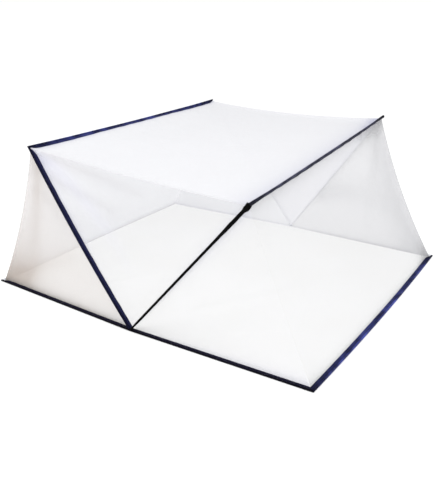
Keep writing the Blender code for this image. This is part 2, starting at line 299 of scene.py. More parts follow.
def tapePoint(bar, share, place):
    inset, height = place
    slope, half = mitreSlope(bar), tape["gap"] / 2
    eased = share - tape["crowd"] * math.sin(2 * math.pi * share) / (2 * math.pi)
    first = half if hasHinge(bar) else half + slope * inset
    if "leg" in bar["name"]:
        first = hingeStart(bar, inset, height)
    last = bar["length"] - half - slope * inset
    along = first + (last - first) * eased
    if inset > tape["flangeStart"]:
        height += flangeLift(bar, along, inset)
        over = inset - tape["flangeStart"]
        inset = tape["flangeStart"] + over * flangeShare(bar, along)
        inset += wave(bar, along, tape["waver"]) * over / tape["width"]
    elif bar["name"] == knob["leg"]:
        inset, height = bunched(bar["length"] - along, inset, height)
    elif bar["name"] in tape["swell"]:
        gain, reach = tape["swell"][bar["name"]]
        grown = 1 + gain * math.exp(-(min(along, bar["length"] - along) / reach) ** 2)
        inset, height = tape["bead"] / 2 + (inset - tape["bead"] / 2) * grown, height * grown
    return barPoint(bar, along, inset, height)


knob = {
    "leg": "foot_hoop_near_leg",
    # distance back from the top corner, and how much wider and thicker the tape is wound there
    "shape": ((0.970, 1.0, 1.0), (0.900, 1.3, 1.35), (0.300, 1.3, 1.35), (0.220, 1.3, 1.50),
              (0.140, 1.4, 1.90), (0.046, 1.4, 1.80), (0.026, 2.2, 2.8), (0.008, 2.2, 2.8), (0.0, 1.9, 2.4)),
    "pleats": 5,
    "pleatDepth": 0.10,
    "twist": 90,            # how far the pleats turn round the wire, in radians a metre
}


def bunched(fromCorner, inset, height):
    # the black tape is wound thicker towards the top corner and ends in a knob
    wide = thick = 1.0
    for one, other in zip(knob["shape"], knob["shape"][1:]):
        if other[0] <= fromCorner <= one[0]:
            share = smooth((one[0] - fromCorner) / (one[0] - other[0]))
            wide, thick = (one[at] + (other[at] - one[at]) * share for at in (1, 2))
    angle = math.atan2(height, inset - tape["bead"] / 2)
    pleat = math.sin(knob["pleats"] * angle + knob["twist"] * fromCorner)
    return inset * wide, height * thick * (1 + knob["pleatDepth"] * (wide - 1) * pleat)


def makeTape(bars, name):
    bar = bars[name]
    outline = tapeProfile(bar["base"])
    count = len(outline)
    piece, shape = addRod(name.replace("bar", "tape").replace("leg", "leg_tape"), count, tape["rings"])
    rounds = [0.0]
    for one, other in zip(outline, outline[1:] + outline[:1]):
        rounds.append(rounds[-1] + math.dist(one, other))
    weave = shape.loops.layers.uv.verify()
    # masks for the painted highlights: the sheen towards mid-span, stronger on the bead, and the flange's
    # middle strip
    midSpan = shape.verts.layers.float.new("midSpan")
    beadHighlight = shape.verts.layers.float.new("beadHighlight")
    highlightStrip = shape.verts.layers.float.new("highlightStrip")
    middle = (tape["width"] + tape["flangeStart"]) / 2
    tags = {}
    for vert in shape.verts:
        turn = math.atan2(vert.co.x, vert.co.y) / (2 * math.pi)
        tags[vert] = round(turn * count) % count, vert.co.z + 0.5
    for face in shape.faces:
        spread = {tags[vert][0] for vert in face.verts}
        cap = len(face.verts) > 4
        for loop in face.loops:
            at, share = tags[loop.vert]
            across = rounds[count] if at == 0 and count - 1 in spread else rounds[at]
            loop[weave].uv = outline[at] if cap else (share * bar["length"], across)
    for vert, (at, share) in tags.items():
        inset = outline[at][0]
        vert.co = tapePoint(bar, share, outline[at])
        vert[midSpan] = 4 * share * (1 - share)
        vert[beadHighlight] = 1.0 if inset < tape["bead"] * tape["beadHighlight"]["reach"] else tape["beadHighlight"]["flange"]
        vert[highlightStrip] = 1.0 if inset == middle else 0.0
    bmesh.ops.recalc_face_normals(shape, faces=shape.faces)
    closeMesh(piece, shape)
    shadeSmooth(piece, tape["crease"])
    return piece


stitch = {"pitch": 0.0042, "length": 0.0030, "radius": 0.000098, "rows": (0.0128, 0.0262), "fromEnds": 0.025}


def makeStitches(bars, name):
    # short threads along the flange, one row by the wire and one by the net, on both faces
    bar = bars[name]
    faces = tape["baseFaces"][3:] if bar["base"] else (-tape["upper"], tape["upper"])
    pickNone()
    bpy.ops.mesh.primitive_cylinder_add(vertices=4, radius=stitch["radius"], depth=stitch["length"],
                                        end_fill_type="TRIFAN", location=(0, 0, 0))
    piece = bpy.context.object
    piece.name = name + "_stitching"
    thread = piece.data
    joined = bmesh.new()
    count = int((bar["length"] - 2 * stitch["fromEnds"]) / stitch["pitch"])
    for row in stitch["rows"]:
        for face in faces:
            for number in range(count):
                along = stitch["fromEnds"] + number * stitch["pitch"]
                inset = tape["flangeStart"] + (row - tape["flangeStart"]) * flangeShare(bar, along)
                height = face + flangeLift(bar, along, row)
                tips = [barPoint(bar, along + way * stitch["length"] / 2, inset, height) for way in (-1, 1)]
                start = len(joined.verts)
                joined.from_mesh(thread)
                joined.verts.ensure_lookup_table()
                turn = zAxis.rotation_difference((tips[1] - tips[0]).normalized())
                middle = (tips[0] + tips[1]) / 2
                for vert in joined.verts[start:]:
                    vert.co = turn @ vert.co + middle
    joined.to_mesh(thread)
    joined.free()
    return piece


panelNet = {
    "exit": 0.0294,         # where the net comes out of the tape, in from the outer edge
    "tuck": 0.0150,         # how far its edge goes in between the tape's two layers
    "tuckRows": 3,
    "retreat": 0.0006,      # and how far it stays clear of the mitres
    "tries": 20,            # steps in which the place of its corner is worked out
    "hingeStart": 0.016,
    "thick": 0.00025,
    # heights in the slot, so that the nets in one tape lie on one another
    "crossHeight": 0.00045,
    "gussetHeight": 0.00015,
    "baseCross": 0.00115,
    "baseGusset": 0.00145,
    # how far the free seams are drawn in at mid-span
    "drawTop": 0.021,
    "drawEnd": 0.020,
    "nearHeadShare": 0.7,   # the near head seam is drawn in less
    "fringe": (0.016, 0.016),   # how far the gathered net, painted darker as shade, reaches from its first and last bar
    "fringeShare": 0.8,
    "mostGather": 2.0,
    "pucker": {"size": 0.0009, "pitch": 0.02401, "reach": 0.022, "ease": 0.006},
    "pull": {"size": 0.0012, "rays": 9, "shift": 2.4, "ease": 0.08, "reach": 0.20},
    "held": {"bar": 0.05, "seam": 0.04},    # folds flatten out towards a bar and a seam
    "crease": 40,
}

# cells from bar to bar, and along the bars
lineup = {"head_panel": (84, 96), "roof_panel": (84, 96), "foot_panel": (72, 96), "gusset": (60, 56)}

# first and last: the bar, the net's height in its slot, and the side of the bar's middle plane it is on
# places on a panel are shares of its size: from the first bar to the last, then along the bars
# crowds: where the net is bunched and painted darker as shade, as {place: (reach, strength)}
panels = {
    "head_panel": {
        "first": ("base_head_end_bar", "baseCross", 1), "last": ("head_hoop_top_bar", "crossHeight", 1),
        "draw": "drawEnd", "flat": (0.93, 1.60), "out": (-1, 0, 0.4), "fringe": panelNet["fringe"],
        "crowdsAndShade": {(0, 0): (0.12, 0.85)},
        "folds": (
            {"start": (1.00, 0.00), "stop": (0.12, 0.86), "width": 0.26, "height": -0.030},
            {"start": (0.95, 0.05), "stop": (0.30, 0.68), "width": 0.060, "height": 0.012},
            {"start": (0.86, 0.03), "stop": (0.22, 0.52), "width": 0.050, "height": 0.010},
            {"start": (0.72, 0.04), "stop": (0.16, 0.34), "width": 0.060, "height": 0.006},
        ),
    },
    "roof_panel": {
        "first": ("head_hoop_top_bar", "crossHeight", -1), "last": ("foot_hoop_top_bar", "crossHeight", 1),
        "draw": "drawTop", "flat": (1.26, 1.60), "out": (0, 0, 1), "fringe": (0.012, 0.055),
        "crowdsAndShade": {(1, 0.98): (0.06, 0.9), (1, 0.90): (0.05, 0.6)},
        "folds": (
            {"start": (0.00, 0.06), "stop": (0.95, 0.95), "width": 0.30, "height": 0.006},
            {"start": (0.98, 0.95), "stop": (0.45, 0.70), "width": 0.21, "height": -0.005},
            {"start": (0.03, 0.05), "stop": (0.40, 0.24), "width": 0.21, "height": -0.005},
        ),
    },
    "foot_panel": {
        "first": ("base_foot_end_bar", "baseCross", 1), "last": ("foot_hoop_top_bar", "crossHeight", -1),
        "draw": "drawEnd", "flat": (0.86, 1.60), "out": (1, 0, 0.4), "fringe": (0.016, 0.055),
        "crowdsAndShade": {(0, 1): (0.13, 1.1), (0, 0): (0.12, 0.3), (1, 0.93): (0.055, 0.65),
                   (1, 0.86): (0.06, 0.75), (1, 0.79): (0.05, 0.45)},
        "folds": (
            {"start": (0.98, 0.98), "stop": (0.45, 0.62), "width": 0.10, "height": 0.004},
        ),
    },
}

gussetBars = {
    "head": {"first": ("base_head_{}_bar", "baseGusset", 1), "last": ("head_hoop_{}_leg", "gussetHeight", 1),
             "draw": "drawEnd", "flat": (0.91, 0.98), "area": 0.385},
    "mid": {"first": ("foot_hoop_{}_leg", "gussetHeight", 1),
            "last": ("head_hoop_{}_leg", "gussetHeight", -1),
            "draw": "drawTop", "flat": (0.99, 1.24), "area": 0.470},
    "foot": {"first": ("base_foot_{}_bar", "baseGusset", 1), "last": ("foot_hoop_{}_leg", "gussetHeight", -1),
             "draw": "drawEnd", "flat": (0.91, 0.94), "area": 0.370},
}

gussetFolds = {
    "far_foot": ({"start": (0.95, 0.97), "stop": (0.25, 0.80), "width": 0.21, "height": 0.005},
                 {"start": (0.90, 0.35), "stop": (0.40, 0.90), "width": 0.10, "height": 0.006}),
    "far_mid": ({"start": (0.05, 0.95), "stop": (0.50, 0.45), "width": 0.08, "height": -0.004},),
    "near_head": ({"start": (0.95, 0.95), "stop": (0.15, 0.80), "width": 0.08, "height": 0.005},
                  {"start": (0.05, 0.90), "stop": (0.60, 0.55), "width": 0.09, "height": -0.005}),
    "near_mid": ({"start": (0.95, 0.95), "stop": (0.55, 0.40), "width": 0.08, "height": 0.003},),
}

# where the gussets' net is bunched and painted darker as shade
gussetCrowdsAndShade = {
    "near_head": {(0, 1): (0.19, 0.85)},
    "far_foot": {(0, 1): (0.14, 0.80), (0.52, 1): (0.16, 0.42), (0.84, 1): (0.13, 0.34)},
    "far_mid": {(0, 1): (0.06, 0.5)},
}

# the near head gusset's gathered net, painted darker as shade, reaches further from its base tape
gussetFringes = {"near_head": (0.030, 0.016)}

for side in sides:
    for part, about in gussetBars.items():
        key = f"{side}_{part}"
        panels[key + "_gusset"] = {
            "first": (about["first"][0].format(side), *about["first"][1:]),
            "last": (about["last"][0].format(side), *about["last"][1:]),
            "draw": about["draw"], "flat": about["flat"], "area": about["area"], "out": (0, sides[side], 0),
            "side": side, "folds": gussetFolds.get(key, ()), "crowdsAndShade": gussetCrowdsAndShade.get(key, {}),
            "fringe": gussetFringes.get(key, panelNet["fringe"]),
        }


def netInset(bar, along, depth=0.0):
    # the net comes out of the tape at its inner edge, and follows it where it is cut back
    return tape["flangeStart"] + (panelNet["exit"] - depth - tape["flangeStart"]) * flangeShare(bar, along)


def cornerTuck(bar, atStop=True):
    # the net's edge starts where it meets the next bar's, on the mitre
    if atStop not in bar["tucks"]:
        tuck = panelNet["exit"]
        for _ in range(panelNet["tries"]):
            tuck = netInset(bar, bar["length"] - tuck if atStop else tuck)
        bar["tucks"][atStop] = tuck + panelNet["retreat"]
    return bar["tucks"][atStop]


def barSide(bars, panel, key, share, depth=0.0):
    name, size, sign = panel[key]
    bar = bars[name]
    last = cornerTuck(bar)
    first = panelNet["hingeStart"] if "side" in panel else cornerTuck(bar, atStop=False)
    along = first + (bar["length"] - first - last) * share
    inset = netInset(bar, along, depth)
    return barPoint(bar, along, inset, panelNet[size] * sign + flangeLift(bar, along, inset))


def seamDraw(one, other, side, amount):
    run = (other - one).normalized()
    middle = (one + other) / 2
    toAxis = Vector((hoops["axisX"] - middle.x, 0, -middle.z))
    toAxis -= run * toAxis.dot(run)
    return (toAxis.normalized() - sides[side] * yAxis) * amount


def seamPoint(bars, panel, atEnd, share):
    # the free seam at either end of the panel's bars; a gusset's first one is its short edge by the hinge
    one = barSide(bars, panel, "first", atEnd)
    other = barSide(bars, panel, "last", atEnd)
    draw = Vector((0, 0, 0))
    if "side" not in panel or atEnd:
        side = panel.get("side") or ("far" if atEnd else "near")
        draw = seamDraw(one, other, side, panelNet[panel["draw"]])
        if side == "near" and panel["first"][0].startswith("base_head"):
            draw *= panelNet["nearHeadShare"]
    return one.lerp(other, share) + draw * (4 * share * (1 - share))


def patchPoint(bars, panel, over, along):
    first, last = (barSide(bars, panel, key, along) for key in ("first", "last"))
    between = first.lerp(last, over)
    between += seamPoint(bars, panel, 0, over).lerp(seamPoint(bars, panel, 1, over), along)
    near = barSide(bars, panel, "first", 0).lerp(barSide(bars, panel, "last", 0), over)
    far = barSide(bars, panel, "first", 1).lerp(barSide(bars, panel, "last", 1), over)
    return between - near.lerp(far, along)


foldShape = {
    "fade": 0.75,           # share of a fold's height lost at its far end
    "sharp": 1.6,
    "crowd": {"narrow": 0.2, "strength": 0.5, "sharp": 2.5},    # only narrow folds crowd the threads, and the net is painted darker along them as shade
}


def foldHeight(folds, over, along, size):
    total, crowd = 0.0, 0.0
    crowding = foldShape["crowd"]
    place = Vector((over * size[0], along * size[1]))
    for fold in folds:
        start = Vector((fold["start"][0] * size[0], fold["start"][1] * size[1]))
        run = Vector((fold["stop"][0] * size[0], fold["stop"][1] * size[1])) - start
        share = min(max((place - start).dot(run) / run.length_squared, 0.0), 1.0)
        distance = (place - start - run * share).length / fold["width"]
        fade = 1 - foldShape["fade"] * share
        total += fold["height"] * fade * math.exp(-distance * distance * foldShape["sharp"])
        if fold["width"] < crowding["narrow"]:
            crowd += crowding["strength"] * fade * math.exp(-distance * distance * crowding["sharp"])
    return total, crowd


def cornerPull(panel, over, along, size, seed):
    # faint tension lines that fan out from the corners where the net is held
    pull, total = panelNet["pull"], 0.0
    corners = ((0, 1), (1, 1)) if "side" in panel else ((0, 0), (0, 1), (1, 0), (1, 1))
    for number, (a, b) in enumerate(corners):
        x, y = (over - a) * size[0], (along - b) * size[1]
        away = math.hypot(x, y)
        angle = math.atan2(abs(y), abs(x) + 1e-6)
        ray = math.sin(pull["rays"] * angle + seed + pull["shift"] * number)
        total += pull["size"] * ray * min(away / pull["ease"], 1) * math.exp(-away / pull["reach"])
    return total


def cornerCrowd(panel, over, along, size):
    # the net is bunched into the tape's corners and at the other given places, and painted darker there as
    # shade
    total = 0.0
    for (a, b), (reach, strength) in panel["crowdsAndShade"].items():
        away = math.hypot((over - a) * size[0], (along - b) * size[1])
        total += strength * math.exp(-away * away / (reach * reach))
    return total


def gathering(panel, over, along, size, crowd):
    # how closely the net is gathered, which sets both how dense it is and how much painted shade it gets: 0
    # where it is stretched, and past 1 where it is bunched
    first, last = panel["fringe"]
    nearBar = max(math.exp(-over * size[0] / first), math.exp(-(1 - over) * size[0] / last))
    total = crowd + panelNet["fringeShare"] * nearBar + cornerCrowd(panel, over, along, size)
    return min(panelNet["mostGather"], total)


def netLift(panel, over, along, size, seed, lift):
    # folds and tension lines, and puckers along the two tapes
    pucker, held = panelNet["pucker"], panelNet["held"]
    toBar = min(over, 1 - over) * size[0]
    toSeam = min(along, 1 - along) * size[1]
    free = min(1.0, toBar / held["bar"]) * min(1.0, toSeam / held["seam"])
    lift += cornerPull(panel, over, along, size, seed)
    waves = math.sin(2 * math.pi * along * size[1] / pucker["pitch"] + seed)
    fade = min(1.0, toBar / pucker["ease"]) * math.exp(-toBar / pucker["reach"])
    return lift * free + pucker["size"] * waves * fade


def makePanel(bars, name):
    panel = panels[name]
    across, lengthwise = lineup["gusset"] if "side" in panel else lineup[name]
    rows = panelNet["tuckRows"]
    total = across + 2 * rows
    piece, shape = addGrid(name.replace("panel", "net").replace("gusset", "gusset_net"), total, lengthwise)
    corners = [patchPoint(bars, panel, a, b) for a, b in ((0, 0), (1, 0), (1, 1), (0, 1))]
    normal = (corners[2] - corners[0]).cross(corners[3] - corners[1]).normalized()
    if normal.dot(Vector(panel["out"])) < 0:
        normal.negate()
    size = (((corners[1] - corners[0]).length + (corners[2] - corners[3]).length) / 2,
            ((corners[3] - corners[0]).length + (corners[2] - corners[1]).length) / 2)
    east = (corners[3] - corners[0]).normalized()
    north = normal.cross(east)
    seed = seedOf(name)
    # how gathered the net is, which also sets how much painted shade it gets
    gatherAndShade = shape.verts.layers.float.new("gatherAndShade")
    weave = shape.loops.layers.uv.verify()
    for vert in shape.verts:
        step = round((vert.co.x + 0.5) * total) - rows
        over, along = step / across, vert.co.y + 0.5
        if 0 <= step <= across:
            lift, crowd = foldHeight(panel["folds"], over, along, size)
            lift = netLift(panel, over, along, size, seed, lift)
            vert.co = patchPoint(bars, panel, over, along) + normal * lift
            vert[gatherAndShade] = gathering(panel, over, along, size, crowd)
        else:
            depth = (-step if step < 0 else step - across) / rows * panelNet["tuck"]
            vert.co = barSide(bars, panel, "first" if step < 0 else "last", along, depth)
            vert[gatherAndShade] = 1.0
    for face in shape.faces:
        for loop in face.loops:
            place = loop.vert.co - corners[0]
            loop[weave].uv = (place.dot(east), place.dot(north))
    shape.normal_update()
    shape.faces.ensure_lookup_table()
    if shape.faces[len(shape.faces) // 2].normal.dot(normal) < 0:
        bmesh.ops.reverse_faces(shape, faces=shape.faces)
    closeMesh(piece, shape)
    thicken(piece, panelNet["thick"])
    shadeSmooth(piece, panelNet["crease"])
    return piece


seam = {
    "width": 0.0040,
    "height": 0.0014,
    "overlap": 0.4,         # how far it reaches over the net, 0 for half and 1 for all of its width
    "around": 8,
    "steps": 60,
    "probe": 0.01,          # its run is measured this far to each side, as a share of its length
    "within": 0.02,         # and the net's direction this far in from it
    "crease": 60,
}


def makeSeam(bars, panelName, side):
    # the turned and stitched edges of the two panels that meet at a free seam
    panel = panels[panelName]
    atEnd = 0 if side == "near" else 1
    piece, shape = addRod(side + "_" + panelName.replace("panel", "seam"), seam["around"], seam["steps"])
    weave = shape.loops.layers.uv.verify()
    within = abs(atEnd - seam["within"])
    for vert in shape.verts:
        share = vert.co.z + 0.5
        middle = seamPoint(bars, panel, atEnd, share)
        inner = (patchPoint(bars, panel, share, within) - middle).normalized()
        back = seamPoint(bars, panel, atEnd, max(share - seam["probe"], 0))
        ahead = seamPoint(bars, panel, atEnd, min(share + seam["probe"], 1))
        up = (ahead - back).cross(inner).normalized()
        inset = (vert.co.x + seam["overlap"]) * seam["width"] / 2
        vert.co = middle + inner * inset + up * (vert.co.y * seam["height"] / 2)
    for face in shape.faces:
        for loop in face.loops:
            loop[weave].uv = (loop.vert.co.x + loop.vert.co.z, loop.vert.co.y)
    bmesh.ops.recalc_face_normals(shape, faces=shape.faces)
    closeMesh(piece, shape)
    shadeSmooth(piece, seam["crease"])
    return piece


floorCloth = {
    "thick": 0.0005,
    "inTape": 0.00075,      # its height between the base tape's two layers
    "cells": 130,
    "drop": 0.012,          # it comes down to the floor over this length
    "foldsFrom": 0.04,      # folds rise from here, in from the cloth's edge
    "foldsOver": 0.09,
    "rumpleSize": 0.0004,
    "rumple": ((31, 9, 5), (27, 7, 4)),     # each wave's turns, and how much and how often it wanders
    "crease": 40,
}

floorFolds = (
    {"start": (0.60, 0.20), "stop": (0.80, 0.58), "width": 0.060, "height": 0.0080},
    {"start": (0.74, 0.16), "stop": (0.60, 0.36), "width": 0.045, "height": 0.0052},
    {"start": (0.27, 0.14), "stop": (0.38, 0.40), "width": 0.050, "height": 0.0060},
    {"start": (0.42, 0.30), "stop": (0.56, 0.24), "width": 0.040, "height": 0.0046},
    {"start": (0.86, 0.34), "stop": (0.92, 0.66), "width": 0.055, "height": 0.0055},
    {"start": (0.10, 0.22), "stop": (0.16, 0.50), "width": 0.060, "height": 0.0034},
    {"start": (0.46, 0.62), "stop": (0.58, 0.80), "width": 0.060, "height": 0.0034},
    {"start": (0.70, 0.72), "stop": (0.80, 0.86), "width": 0.050, "height": 0.0030},
)


def rumpled(x, y):
    # low, uneven waves all over the cloth
    waves = [math.sin(turns * one + wander * math.sin(often * other))
             for (turns, wander, often), one, other in zip(floorCloth["rumple"], (x, y), (y, x))]
    return floorCloth["rumpleSize"] * (waves[0] * waves[1] + 1)


def makeFloor():
    piece, shape = addGrid("floor_cloth", floorCloth["cells"], floorCloth["cells"])
    weave = shape.loops.layers.uv.verify()
    inside = panelNet["exit"] - panelNet["tuck"]
    half = hoops["length"] / 2 - inside
    for vert in shape.verts:
        u, v = vert.co.x + 0.5, vert.co.y + 0.5
        bow = 4 * v * (1 - v)
        low = -half - hoops["bow"]["base_head"] * bow
        high = half + hoops["bow"]["base_foot"] * bow
        x = low + (high - low) * u
        fromAxis = x - hoops["axisX"]
        toCorner = min(abs(fromAxis) / (half - math.copysign(hoops["axisX"], fromAxis)), 1.0)
        wide = hoops["width"] / 2 - inside + hoops["hingeOut"] * (1 - toCorner)
        y = (2 * v - 1) * wide
        inTape = min(x - low, high - x, wide - abs(y))
        flat = smooth((inTape - panelNet["tuck"]) / floorCloth["drop"])
        rise = floorCloth["inTape"] + (floorCloth["thick"] / 2 - floorCloth["inTape"]) * flat
        lift, _ = foldHeight(floorFolds, u, v, (hoops["length"], hoops["width"]))
        free = smooth((inTape - floorCloth["foldsFrom"]) / floorCloth["foldsOver"])
        vert.co = Vector((x, y, rise + (lift + rumpled(x, y)) * free))
    for face in shape.faces:
        for loop in face.loops:
            loop[weave].uv = loop.vert.co.xy
    closeMesh(piece, shape)
    thicken(piece, floorCloth["thick"])
    shadeSmooth(piece, floorCloth["crease"])
    return piece


def newGroup(name, inputs, outputs):
    group = bpy.data.node_groups.new(name, "ShaderNodeTree")
    for label, kind, value in inputs:
        socket = group.interface.new_socket(name=label, in_out="INPUT", socket_type=kind)
        if value is not None:
            socket.default_value = value
    for label, kind in outputs:
        group.interface.new_socket(name=label, in_out="OUTPUT", socket_type=kind)
    return group, group.nodes.new("NodeGroupInput"), group.nodes.new("NodeGroupOutput")


def feed(tree, socket, value):
    if hasattr(value, "is_output"):
        tree.links.new(value, socket)
    else:
        socket.default_value = value


def mathNode(tree, kind, *values):
    node = tree.nodes.new("ShaderNodeMath")
    node.operation = kind
    for socket, value in zip(node.inputs, values):
        feed(tree, socket, value)
    return node.outputs[0]


def rampNode(tree, value, low, high, toLow=0.0, toHigh=1.0):
    node = tree.nodes.new("ShaderNodeMapRange")
    node.interpolation_type = "SMOOTHSTEP"
    keys = ("Value", "From Min", "From Max", "To Min", "To Max")
    for key, given in zip(keys, (value, low, high, toLow, toHigh)):
        feed(tree, node.inputs[key], given)
    return node.outputs["Result"]


def mixNode(tree, share, one, other):
    node = tree.nodes.new("ShaderNodeMix")
    node.data_type = "RGBA"
    feed(tree, node.inputs["Factor"], share)
    feed(tree, node.inputs["A"], (*one, 1.0) if isinstance(one, tuple) else one)
    feed(tree, node.inputs["B"], (*other, 1.0) if isinstance(other, tuple) else other)
    return node.outputs["Result"]


def noiseNode(tree, vector, scale, detail=3.0):
    node = tree.nodes.new("ShaderNodeTexNoise")
    feed(tree, node.inputs["Vector"], vector)
    node.inputs["Scale"].default_value = scale
    node.inputs["Detail"].default_value = detail
    return node.outputs["Fac"]


def attributeNode(tree, name):
    node = tree.nodes.new("ShaderNodeAttribute")
    node.attribute_name = name
    return node.outputs["Fac"]


def uvNode(tree):
    return tree.nodes.new("ShaderNodeTexCoord").outputs["UV"]


# plain woven yarns, over and under, on a UV map in metres
def buildWeave():
    inputs = (("Vector", "NodeSocketVector", None), ("Pitch", "NodeSocketFloat", 0.001))
    outputs = (("Height", "NodeSocketFloat"), ("Fray", "NodeSocketFloat"))
    group, given, out = newGroup("plainWeave", inputs, outputs)
    split = group.nodes.new("ShaderNodeSeparateXYZ")
    group.links.new(given.outputs["Vector"], split.inputs[0])
    turns = mathNode(group, "DIVIDE", math.pi, given.outputs["Pitch"])
    warp, weft = (mathNode(group, "SINE", mathNode(group, "MULTIPLY", split.outputs[axis], turns))
                  for axis in (0, 1))
    crossed = mathNode(group, "MULTIPLY", mathNode(group, "MULTIPLY", warp, weft), 0.5)
    fuzz = mathNode(group, "MULTIPLY", noiseNode(group, given.outputs["Vector"], 900.0), 0.5)
    group.links.new(mathNode(group, "ADD", crossed, fuzz), out.inputs["Height"])
    group.links.new(noiseNode(group, given.outputs["Vector"], 60.0), out.inputs["Fray"])
    return group


# knitted net: a honeycomb of threads on a UV map in metres, 1 on a thread and 0 in a hole
def buildNetMesh():
    inputs = (("Vector", "NodeSocketVector", None), ("Cell", "NodeSocketFloat", 0.002))
    group, given, out = newGroup("netMesh", inputs, (("Thread", "NodeSocketFloat"),))
    split = group.nodes.new("ShaderNodeSeparateXYZ")
    group.links.new(given.outputs["Vector"], split.inputs[0])
    turns = mathNode(group, "DIVIDE", 2 * math.pi, given.outputs["Cell"])
    total = None
    for angle in (0, 60, 120):
        east = mathNode(group, "MULTIPLY", split.outputs[0], math.cos(math.radians(angle)))
        north = mathNode(group, "MULTIPLY", split.outputs[1], math.sin(math.radians(angle)))
        along = mathNode(group, "ADD", east, north)
        ridges = mathNode(group, "COSINE", mathNode(group, "MULTIPLY", along, turns))
        total = ridges if total is None else mathNode(group, "ADD", total, ridges)
    group.links.new(rampNode(group, total, 0.6, -0.4), out.inputs["Thread"])
    return group


weaveGroup = buildWeave()
netGroup = buildNetMesh()


def placeGroup(tree, group, **values):
    node = tree.nodes.new("ShaderNodeGroup")
    node.node_tree = group
    for label, value in values.items():
        feed(tree, node.inputs[label], value)
    return node


def newMaterial(name, **values):
    material = bpy.data.materials.new(name)
    material.use_nodes = True
    shader = material.node_tree.nodes["Principled BSDF"]
    for label, value in values.items():
        shader.inputs[label.replace("_", " ")].default_value = value
    return material, material.node_tree, shader


def bumpFrom(tree, shader, height, strength, distance):
    bump = tree.nodes.new("ShaderNodeBump")
    bump.inputs["Strength"].default_value = strength
    bump.inputs["Distance"].default_value = distance
    tree.links.new(height, bump.inputs["Height"])
    tree.links.new(bump.outputs["Normal"], shader.inputs["Normal"])


# the cloth's own tone, a painted highlight along its flange's middle strip, a painted sheen where it catches
# the light at mid-span, and a painted highlight on the tops of its yarns, which also flecks its stitching
# thread
tapeColours = {
    # one navy tape in painted lit and shaded copies, as the light falls on each bar
    "navyLit": {"dark": (0.005, 0.005, 0.016), "highlightStrip": (0.010, 0.011, 0.040),
             "light": (0.085, 0.105, 0.42), "shine": 1.0, "edge": (0.016, 0.019, 0.080)},
    "navyHalfLit": {"dark": (0.006, 0.006, 0.012), "highlightStrip": (0.014, 0.014, 0.032),
                 "light": (0.080, 0.082, 0.140), "shine": 1.0, "edge": (0.030, 0.030, 0.060)},
    "navyPlain": {"dark": (0.005, 0.005, 0.018), "highlightStrip": (0.016, 0.018, 0.065),
                  "light": (0.012, 0.014, 0.060), "shine": 0.6, "edge": (0.012, 0.014, 0.050)},
    "navyShaded": {"dark": (0.002, 0.0018, 0.005), "highlightStrip": (0.012, 0.011, 0.032),
                 "light": (0.004, 0.004, 0.014), "shine": 0.6, "edge": (0.005, 0.005, 0.016)},
    "black": {"dark": (0.0008, 0.0007, 0.0008), "highlightStrip": (0.002, 0.002, 0.002),
              "light": (0.001, 0.001, 0.001), "shine": 0.3, "edge": (0.002, 0.002, 0.002)},
    "white": {"dark": (0.80, 0.81, 0.85), "highlightStrip": (0.84, 0.85, 0.88),
              "light": (0.88, 0.885, 0.90), "shine": 0.4, "edge": (0.90, 0.905, 0.92)},
}

tapeDyeAndLight = {  # the far side and the head end are white and the foot's near leg black; the rest is one navy tape in painted lit and shaded copies: a painted sheen on the head top bar and the foot end bar, a weaker one on the foot top bar, and painted shade on the near base bars
    "head_hoop_top_bar": "navyLit", "base_foot_end_bar": "navyLit", "foot_hoop_top_bar": "navyHalfLit",
    "base_head_near_bar": "navyShaded", "base_foot_near_bar": "navyShaded", "foot_hoop_near_leg": "black",
}


def finishOf(name):
    if name in tapeDyeAndLight:
        return tapeDyeAndLight[name]
    return "white" if "far" in name or name == "base_head_end_bar" else "navyPlain"


def tapeMaterial(name):
    look = tapeColours[name]
    material, tree, shader = newMaterial(name + "Tape", Roughness=0.62, Specular_IOR_Level=0.05)
    uv = uvNode(tree)
    weave = placeGroup(tree, weaveGroup, Vector=uv, Pitch=0.0009)
    # painted sheen: the light colour is laid on towards mid-span, more on the bead than on the flange, and
    # patchy
    shine = mathNode(tree, "MULTIPLY", attributeNode(tree, "midSpan"), attributeNode(tree, "beadHighlight"))
    shine = mathNode(tree, "MULTIPLY", shine, look["shine"])
    uneven = rampNode(tree, noiseNode(tree, uv, 14.0), 0.35, 0.68, 0.15, 1.0)
    # painted highlight along the middle of the flange, which leaves its edges darker
    colour = mixNode(tree, attributeNode(tree, "highlightStrip"), look["dark"], look["highlightStrip"])
    colour = mixNode(tree, mathNode(tree, "MULTIPLY", shine, uneven), colour, look["light"])
    # painted highlight on the tops of the yarns
    yarnTopHighlight = rampNode(tree, weave.outputs["Height"], 0.45, 0.9, 0.0, 0.55)
    colour = mixNode(tree, yarnTopHighlight, colour, look["edge"])
    tree.links.new(colour, shader.inputs["Base Color"])
    tree.links.new(rampNode(tree, weave.outputs["Fray"], 0.3, 0.7, 0.52, 0.74), shader.inputs["Roughness"])
    bumpFrom(tree, shader, weave.outputs["Height"], 0.5, 0.0003)
    return material


def threadMaterial(name):
    look = tapeColours[name]
    tone = tuple(min(1.0, 0.004 + 1.5 * part) for part in look["dark"])
    material, tree, shader = newMaterial(name + "Thread", Roughness=0.5, Specular_IOR_Level=0.15)
    place = tree.nodes.new("ShaderNodeTexCoord").outputs["Object"]
    colour = mixNode(tree, noiseNode(tree, place, 700.0), tone, look["edge"])
    tree.links.new(colour, shader.inputs["Base Color"])
    return material


